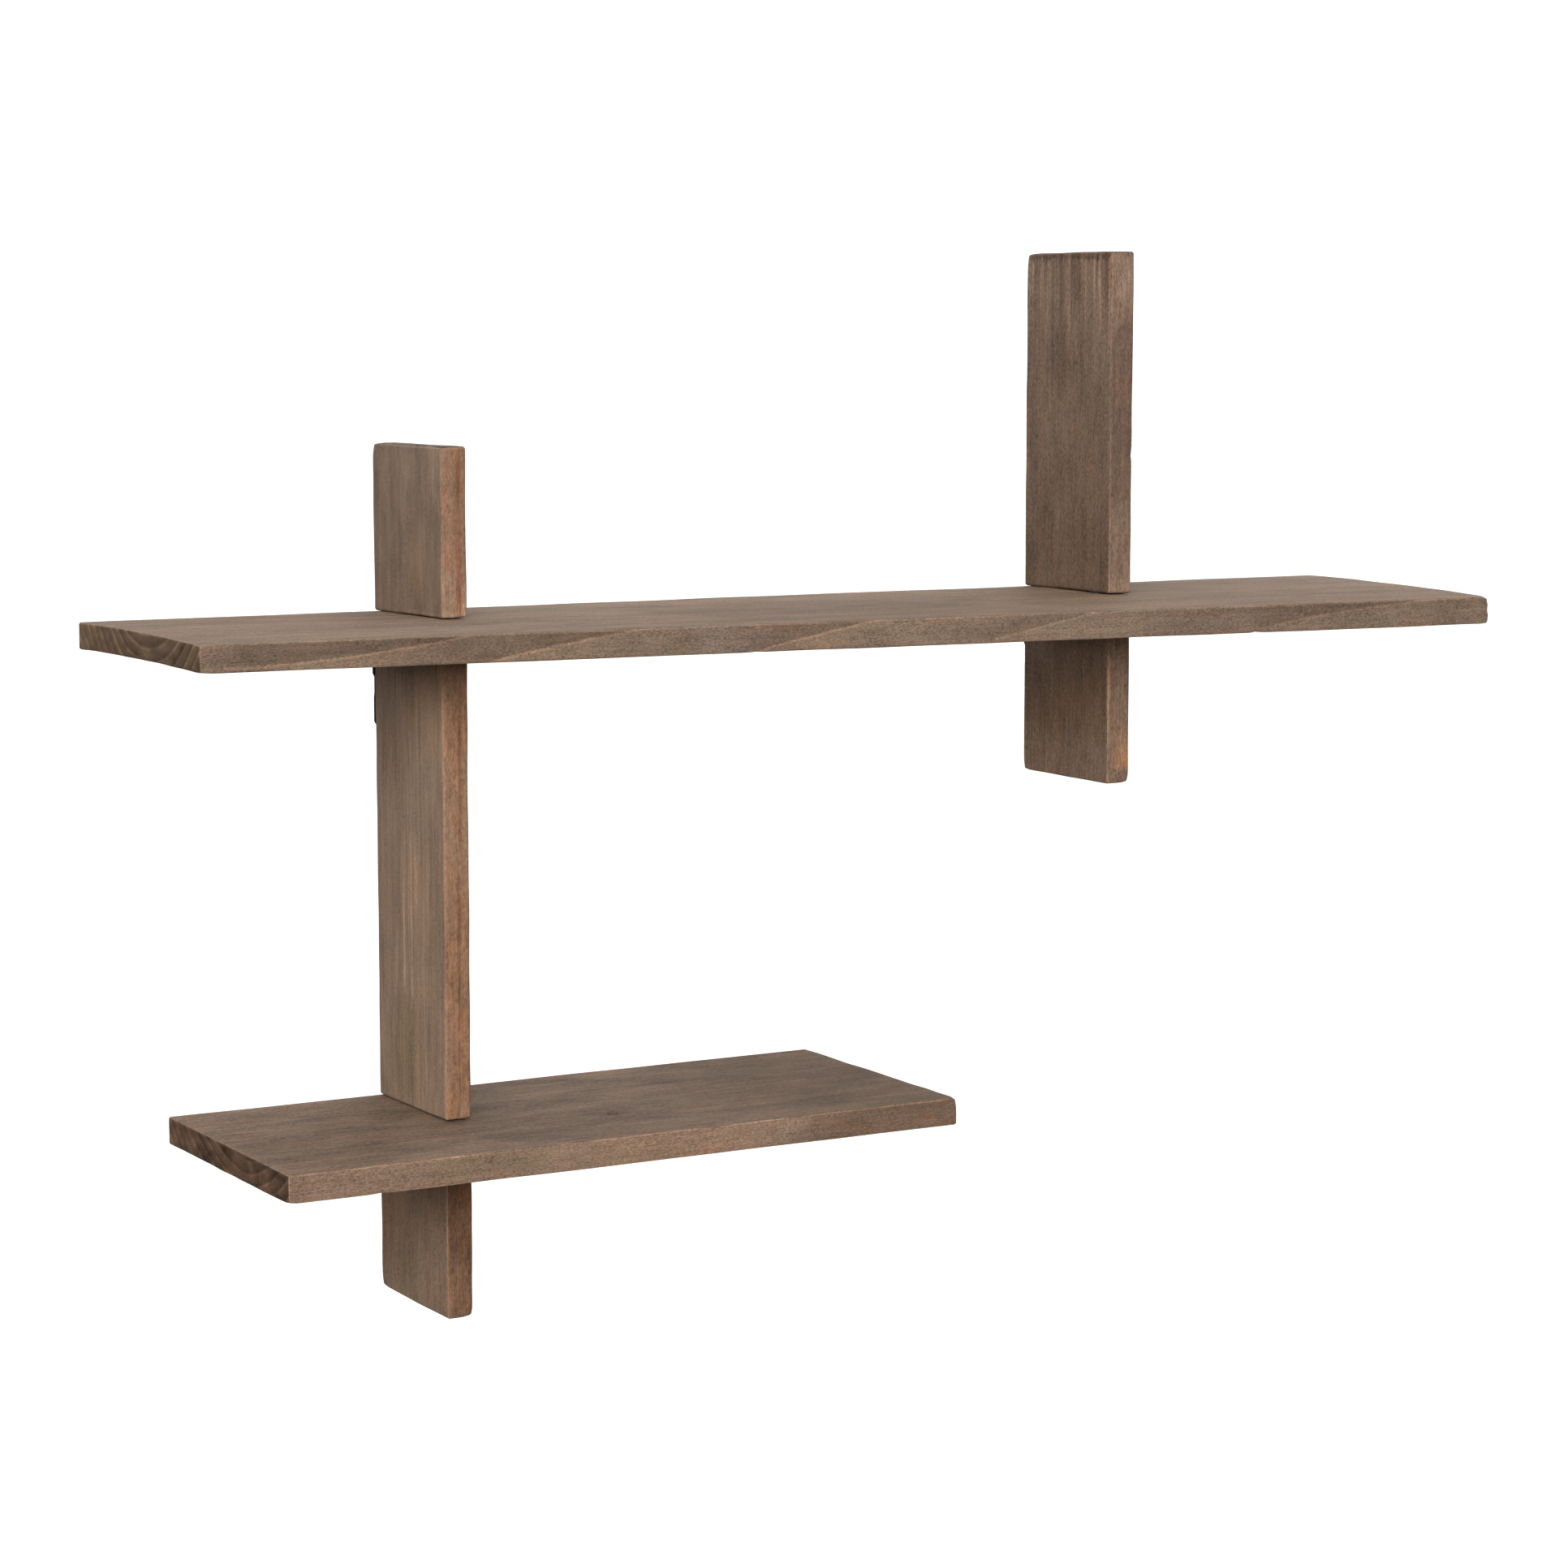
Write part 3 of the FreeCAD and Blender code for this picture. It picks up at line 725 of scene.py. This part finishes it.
# One plank's look. broad, narrow and end are the colours of its faces as linear light. The next
# keys are amounts: grain, streak, band, figure, blotch and grit for the broad faces' texture, from
# fine threads to wide clouds and pores; mottle, speck and drift for the narrow faces' texture and
# colour; cloud for the end grain; wear for the pale rubbed front arrises. pith is the rings' centre
# (across, through) and ring their spacing, in mm.
LOOKS = {
    "long_shelf": {
        "seed": 1, "marks": long_shelf_marks,
        "broad": (0.216, 0.149, 0.104), "narrow": (0.215, 0.150, 0.107),
        "end": (0.121, 0.076, 0.045), "grain": 0.20, "streak": 0.08, "band": 0.13, "figure": 0.055,
        "blotch": 0.16, "grit": 0.40, "mottle": 0.18, "speck": 0.50, "drift": 0.35,
        "cloud": 0.52, "wear": 0.26, "pith": (51.0, 57.0), "ring": 5.0,
    },
    "short_shelf": {
        "seed": 2, "marks": short_shelf_marks,
        "broad": (0.199, 0.132, 0.089), "narrow": (0.240, 0.158, 0.112),
        "end": (0.106, 0.060, 0.035), "grain": 0.26, "streak": 0.15, "band": 0.10, "figure": 0.045,
        "blotch": 0.30, "grit": 0.50, "mottle": 0.18, "speck": 0.46, "drift": 0.50,
        "cloud": 0.66, "wear": 0.85, "pith": (45.0, 70.0), "ring": 5.0,
    },
    "left_upright_top": {
        "seed": 3, "marks": left_upright_top_marks,
        "broad": (0.190, 0.132, 0.092), "narrow": (0.262, 0.154, 0.098),
        "end": (0.110, 0.076, 0.052), "grain": 0.08, "streak": 0.11, "band": 0.15, "figure": 0.030,
        "blotch": 0.28, "grit": 0.18, "mottle": 0.26, "speck": 0.30, "drift": 0.70,
        "cloud": 0.36, "wear": 0.12, "pith": (30.0, 60.0), "ring": 3.4,
    },
    "left_upright_middle": {
        "seed": 4, "marks": left_upright_middle_marks,
        "broad": (0.260, 0.175, 0.120), "narrow": (0.306, 0.169, 0.100),
        "end": (0.110, 0.076, 0.052), "grain": 0.08, "streak": 0.20, "band": 0.12, "figure": 0.030,
        "blotch": 0.15, "grit": 0.22, "mottle": 0.30, "speck": 0.28, "drift": 0.70,
        "cloud": 0.36, "wear": 0.06, "pith": (30.0, 60.0), "ring": 3.4,
    },
    "left_upright_bottom": {
        "seed": 5, "marks": left_upright_bottom_marks,
        "broad": (0.221, 0.147, 0.101), "narrow": (0.195, 0.107, 0.063),
        "end": (0.100, 0.070, 0.048), "grain": 0.14, "streak": 0.11, "band": 0.06, "figure": 0.030,
        "blotch": 0.16, "grit": 0.34, "mottle": 0.30, "speck": 0.32, "drift": 1.00,
        "cloud": 0.36, "wear": 0.15, "pith": (30.0, 60.0), "ring": 3.4,
    },
    "right_upright_top": {
        "seed": 6, "marks": right_upright_top_marks,
        "broad": (0.152, 0.100, 0.068), "narrow": (0.168, 0.109, 0.076),
        "end": (0.095, 0.065, 0.045), "grain": 0.11, "streak": 0.15, "band": 0.09, "figure": 0.030,
        "blotch": 0.22, "grit": 0.50, "mottle": 0.22, "speck": 0.36, "drift": 0.50,
        "cloud": 0.36, "wear": 0.12, "pith": (35.0, -50.0), "ring": 3.4,
    },
    "right_upright_bottom": {
        "seed": 7, "marks": right_upright_bottom_marks,
        "broad": (0.169, 0.112, 0.076), "narrow": (0.243, 0.156, 0.108),
        "end": (0.085, 0.060, 0.042), "grain": 0.19, "streak": 0.17, "band": 0.09, "figure": 0.030,
        "blotch": 0.20, "grit": 0.45, "mottle": 0.28, "speck": 0.38, "drift": 0.70,
        "cloud": 0.36, "wear": 0.12, "pith": (35.0, -50.0), "ring": 3.4,
    },
}


def broad_tone(wood, look):
    """Tone of the broad faces: fibres, streaks, bands, clouds and pores about 1."""
    g = wood.g
    return g.total(
        1.0,
        g.product(wood.fibre, look["grain"]),
        g.product(wood.hair, 0.8 * look["grain"]),
        g.product(wood.streak, look["streak"]),
        g.product(wood.band, look["band"]),
        g.product(wood.figure, look["figure"]),
        g.product(wood.blotch, look["blotch"]),
        g.product(wood.sanding, 0.08),
        g.product(wood.mottle, 0.06),
        g.product(wood.speck, look["grit"]),
    )


def narrow_tone(wood, look):
    """Tone of the narrow faces: mostly mottle and pores, with faint fibres."""
    g = wood.g
    return g.total(
        1.0,
        g.product(wood.mottle, look["mottle"]),
        g.product(wood.speck, look["speck"]),
        g.product(wood.fibre, 0.12),
        g.product(wood.streak, 0.10),
        g.product(wood.blotch, 0.18),
    )


def stain_drift(wood, amount):
    """The stain drifts between warm and cool, and amount adds smaller clouds on narrow faces."""
    g = wood.g
    drift = g.noise(wood.stretched(55, 5, 5, 61.0), 3.0, 0.65)
    wood.tint(WARM_DRIFT, g.ramp(drift, -0.1, 1.0))
    wood.tint(COOL_DRIFT, g.ramp(drift, 0.1, -1.0))
    cloudy = g.noise(wood.stretched(14, 5, 5, 63.0), 2.0, 0.6)
    share = g.product(wood.narrow, amount)
    wood.tint(WARM_CLOUD, g.product(g.ramp(cloudy, -0.1, 0.9), share))
    wood.tint(COOL_CLOUD, g.product(g.ramp(cloudy, 0.1, -0.9), share))


def worn_and_shaded_arrises(wood, wear):
    """Arrises are rubbed pale, most at the front, and grimy in places; painted shade darkens them at the
    back.
    """
    g = wood.g
    edge = g.ramp(wood.arris, 0.15, 0.8)
    rear = g.ramp(wood.across, wood.width - 3.0, wood.width - 1.0)
    front = g.ramp(wood.across, 3.5, 1.5)
    rub = g.noise(wood.stretched(24, 5, 5, 29.0), 3.0, 0.6)
    rubbed = g.ramp(rub, -0.9, 0.8)
    grimy = g.ramp(rub, 0.0, -0.9)
    wood.tint(WORN_ARRIS, g.product(edge, front, rubbed, wear))
    wood.tint(RUBBED_ARRIS, g.product(edge, rubbed, 0.45))
    wood.tint(DARK, g.product(edge, grimy, 0.35))
    # Painted shade: the rear arrises are darkened as edges turned away from the lights.
    wood.tint(REAR_ARRIS_SHADE, g.product(edge, rear, 0.95))


def stained_wood(node):
    """Matt grey-brown stain over softwood, with separate broad, narrow and end grain."""
    look = LOOKS[node]
    wood = Wood(node, look["seed"])
    g = wood.g
    broad = g.scaled(look["broad"], broad_tone(wood, look))
    narrow = g.scaled(look["narrow"], narrow_tone(wood, look))
    rings = wood.end_rings(look["pith"][0], look["pith"][1], look["ring"], look["cloud"])
    wood.colour = g.mix(wood.end, g.mix(wood.narrow, broad, narrow), g.scaled(look["end"], rings))
    stain_drift(wood, look["drift"])
    look["marks"](wood)
    worn_and_shaded_arrises(wood, look["wear"])
    height = g.total(
        g.product(wood.fibre, 0.5),
        g.product(wood.hair, 0.5),
        g.product(wood.mottle, g.math("MULTIPLY_ADD", wood.narrow, 0.6, 0.2)),
    )
    roughness = g.math("MULTIPLY_ADD", wood.fibre, 0.04, 0.80)
    return g.surface(wood.colour, roughness, height, WOOD_BUMP * MM, **{"Specular IOR Level": 0.2})


# --------------------------------------------------------------------------- hardware materials

def beech():
    """Pale beech of the dowels, with short flecks along the grain."""
    g = Graph("beech_dowel")
    x, y, z = g.split(g.scaled(g.add("TexCoord", {}, output="Object"), 1 / MM))
    place = g.vector(g.product(x, 2.5), g.product(y, 2.5), g.product(z, 0.3))
    fleck = g.noise(place, 2.0)
    colour = g.mix(g.ramp(fleck, -0.8, 0.9), rgb(0.52, 0.33, 0.18), rgb(0.66, 0.47, 0.28))
    return g.surface(colour, g.math("MULTIPLY_ADD", fleck, 0.05, 0.62), fleck, BEECH_BUMP * MM)


def black_steel():
    """Black lacquered steel of the keyhole plates, rubbed and slightly dusty."""
    g = Graph("black_lacquered_steel")
    place = g.scaled(g.add("TexCoord", {}, output="Object"), 1 / MM)
    peel = g.noise(g.scaled(place, 2.2), 3.0, 0.6)
    cloud = g.noise(g.scaled(place, 0.18), 3.0, 0.6)
    colour = g.mix(g.ramp(cloud, -0.8, 1.2), rgb(0.008, 0.008, 0.008), rgb(0.022, 0.020, 0.019))
    roughness = g.total(0.42, g.product(cloud, 0.08), g.product(peel, 0.03))
    return g.surface(colour, roughness, peel, LACQUER_BUMP * MM, **{"Specular IOR Level": 0.3})


def zinc_steel():
    """Zinc-plated steel of the screws, with fine turning marks."""
    g = Graph("zinc_plated_steel")
    place = g.scaled(g.add("TexCoord", {}, output="Object"), 1 / MM)
    grainy = g.noise(g.scaled(place, 3.5), 3.0, 0.65)
    cloud = g.noise(g.scaled(place, 0.6), 2.0, 0.5)
    colour = g.mix(g.ramp(cloud, -0.9, 0.9), rgb(0.42, 0.43, 0.44), rgb(0.60, 0.60, 0.57))
    roughness = g.total(0.34, g.product(grainy, 0.06))
    return g.surface(colour, roughness, grainy, ZINC_BUMP * MM, **{"Metallic": 1.0})


# ----------------------------------------------------------------------------------- the making

def add_piece(name, mesh, material, node):
    """Put a mesh in the scene as the look of a CAD node."""
    piece = bpy.data.objects.new(name, mesh)
    bpy.context.scene.collection.objects.link(piece)
    mesh.materials.append(material)
    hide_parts(node)
    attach(piece, "root")
    return piece


def crossing_cutters(piece_box):
    """Dowel and joint screw holes that reach into a box."""
    cutters = []
    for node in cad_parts:
        if "dowel" in node or "joint_screw" in node:
            low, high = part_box(node)
            centre = (low + high) / 2
            inside = all(low[a] < piece_box[1][a] and high[a] > piece_box[0][a] for a in range(3))
            if inside:
                half_length = (high.z - low.z) / 2 + OVERSHOOT * MM
                cutters.append(round_cutter(centre, (high.x - low.x) / 2, half_length, "Z"))
    return cutters


def hanger_cutters(side):
    """A keyhole pocket and two pilot holes behind a hanger plate; the keyhole's entry is at Z 0."""
    low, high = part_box(side + "_hanger_plate")
    wood_back = low.y
    depth = POCKET_DEPTH * MM
    pocket = Vector(((low.x + high.x) / 2, wood_back, 0.0))
    cutters = [round_cutter(pocket, POCKET_RADIUS * MM, depth, "Y", KEYHOLE_DROP * MM)]
    for place in ("upper", "lower"):
        low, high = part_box(side + "_hanger_screw_" + place)
        centre = (low + high) / 2
        half_length = (high.y - low.y) / 2 + OVERSHOOT * MM
        cutters.append(round_cutter(centre, PILOT_RADIUS * MM, half_length, "Y"))
    return cutters


def build_planks():
    """Every plank, warped in its place and drilled for the dowels, screws and plates it takes."""
    left_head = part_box("left_upright_top")[1].z / MM
    left_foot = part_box("left_upright_bottom")[0].z / MM
    right_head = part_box("right_upright_top")[1].z / MM
    right_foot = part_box("right_upright_bottom")[0].z / MM
    warps = {
        "long_shelf": board_warp("long_shelf", LONG_DEPTH, long_shelf_height),
        "short_shelf": board_warp("short_shelf", SHORT_DEPTH, short_shelf_height),
        "left_upright_top": block_warp(
            "left_upright_top", "left", on_top_of(long_shelf_height), left_head),
        "left_upright_middle": block_warp(
            "left_upright_middle", "left", on_top_of(short_shelf_height), underneath(long_shelf_height)),
        "left_upright_bottom": block_warp(
            "left_upright_bottom", "left", left_foot, underneath(short_shelf_height)),
        "right_upright_top": block_warp(
            "right_upright_top", "right", on_top_of(long_shelf_height), right_head),
        "right_upright_bottom": block_warp(
            "right_upright_bottom", "right", right_foot, underneath(long_shelf_height)),
    }
    for number, (node, warp) in enumerate(warps.items()):
        is_board = "shelf" in node
        spacing = BOARD_SPACING if is_board else BLOCK_SPACING
        arris_radius = BOARD_ARRIS if is_board else BLOCK_ARRIS
        seed = FIRST_SEED + SEED_STEP * number
        mesh = plank_mesh(node, spacing, arris_radius, seed, warp, DENTS.get(node, ()))
        piece = add_piece(node + "_plank", mesh, stained_wood(node), node)
        cutters = crossing_cutters(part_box(node))
        if node in HUNG_BLOCKS:
            cutters += hanger_cutters(HUNG_BLOCKS[node])
        drill(piece, cutters)


def finish_hardware():
    """The dowels, plates and screws keep their CAD shape and get their own materials."""
    materials = {"dowel": beech(), "plate": black_steel(), "screw": zinc_steel()}
    for node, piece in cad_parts.items():
        for word, material in materials.items():
            if word in node:
                piece.data.materials.clear()
                piece.data.materials.append(material)


# The camera's place in mm from the long shelf's left, rear, upper corner, and its turn in degrees.
CAMERA_OFFSET = (-497.8, -1416.2, 111.7)
CAMERA_TURN = (83.455, -0.056, -30.004)


def build_camera():
    """The camera stands in front, to the left and slightly above, with a long lens."""
    corner = Vector((long_low.x, long_high.y, long_high.z))
    camera = bpy.data.objects.new("camera", bpy.data.cameras.new("camera"))
    camera.location = corner + Vector(CAMERA_OFFSET) * MM
    camera.rotation_euler = [math.radians(angle) for angle in CAMERA_TURN]
    camera.data.lens = 87.23
    camera.data.sensor_width = 36.0
    camera.data.shift_x = -0.0041
    camera.data.shift_y = -0.0091
    camera.data.clip_start = 0.05
    camera.data.clip_end = 50
    bpy.context.scene.collection.objects.link(camera)
    bpy.context.scene.camera = camera


def soft_box(name, target, azimuth, elevation, distance, size, strength):
    """A rectangular light aimed at the target; strength 1 lights facing white paper fully.

    azimuth is in degrees from the front, positive towards the left. distance and size are in
    metres."""
    turn, rise = math.radians(azimuth), math.radians(elevation)
    level = math.cos(rise)
    direction = Vector((-math.sin(turn) * level, -math.cos(turn) * level, math.sin(rise)))
    light = bpy.data.lights.new(name, "AREA")
    light.shape = "RECTANGLE"
    light.size, light.size_y = size
    light.energy = strength * (math.pi * distance) ** 2
    lamp = bpy.data.objects.new(name, light)
    lamp.location = target + direction * distance
    lamp.rotation_euler = (-direction).to_track_quat("-Z", "Y").to_euler()
    lamp.visible_camera = False
    bpy.context.scene.collection.objects.link(lamp)


def build_floor(centre, low_z):
    """A plain pale floor that curves up into a wall all round, so no horizon shows.

    hub, wall and bend are radii and height is the straight wall's, all in metres."""
    hub, wall, bend, height = 0.001, 4.5, 2.0, 5.0
    sides, bend_steps = 48, 12
    profile = [(hub, low_z)]
    for step in range(bend_steps + 1):
        turn = math.pi / 2 * step / bend_steps
        profile.append((wall - bend + bend * math.sin(turn), low_z + bend - bend * math.cos(turn)))
    profile.append((wall, low_z + bend + height))
    points = []
    for radius, z in profile:
        for side in range(sides):
            turn = 2 * math.pi * side / sides
            points.append((centre.x + radius * math.cos(turn), centre.y + radius * math.sin(turn), z))
    faces = []
    for ring in range(len(profile) - 1):
        for side in range(sides):
            here, there = ring * sides + side, ring * sides + (side + 1) % sides
            faces.append([here, there, there + sides, here + sides])
    mesh = bpy.data.meshes.new("studio_floor")
    mesh.from_pydata(points, [], faces)
    mesh.polygons.foreach_set("use_smooth", [True] * len(mesh.polygons))
    g = Graph("pale_paper")
    paper = {"Base Color": rgb(0.88, 0.88, 0.88), "Roughness": 0.9}
    paper.update({"Emission Color": rgb(1, 1, 1), "Emission Strength": 0.95})
    g.add("OutputMaterial", {"Surface": g.add("BsdfPrincipled", paper)})
    mesh.materials.append(g.material)
    floor = bpy.data.objects.new("studio_floor", mesh)
    floor.visible_diffuse = False
    floor.visible_glossy = False
    floor.visible_shadow = False
    bpy.context.scene.collection.objects.link(floor)


# How far the floor lies below the shelf, in metres, and the strength of the room's even light.
FLOOR_DROP = 1.8
ROOM_LIGHT = 0.12


def build_studio():
    """Soft boxes: a low key at the front left, one overhead, three fills and a floor bounce."""
    low, high = cad_box
    centre = (low + high) / 2
    build_floor(centre, low.z - FLOOR_DROP)
    soft_box("key", centre, 38, 15, 3.6, (2.9, 1.25), 1.12)
    soft_box("overhead", centre, 10, 84, 1.9, (2.2, 1.7), 0.62)
    soft_box("right_fill", centre, -140, 20, 2.4, (1.6, 1.4), 0.26)
    soft_box("side_fill", centre, -110, 8, 2.4, (1.6, 1.4), 0.48)
    soft_box("back_fill", centre, 165, 30, 2.0, (1.6, 1.0), 0.40)
    soft_box("floor_bounce", centre, 0, -90, 2.0, (1.0, 0.8), 0.42)
    world = bpy.data.worlds.new("studio")
    world.use_nodes = True
    background = world.node_tree.nodes["Background"]
    background.inputs["Color"].default_value = rgb(1, 1, 1)
    background.inputs["Strength"].default_value = ROOM_LIGHT
    bpy.context.scene.world = world
    bpy.context.scene.view_settings.view_transform = "Standard"


build_camera()
build_planks()
finish_hardware()
build_studio()
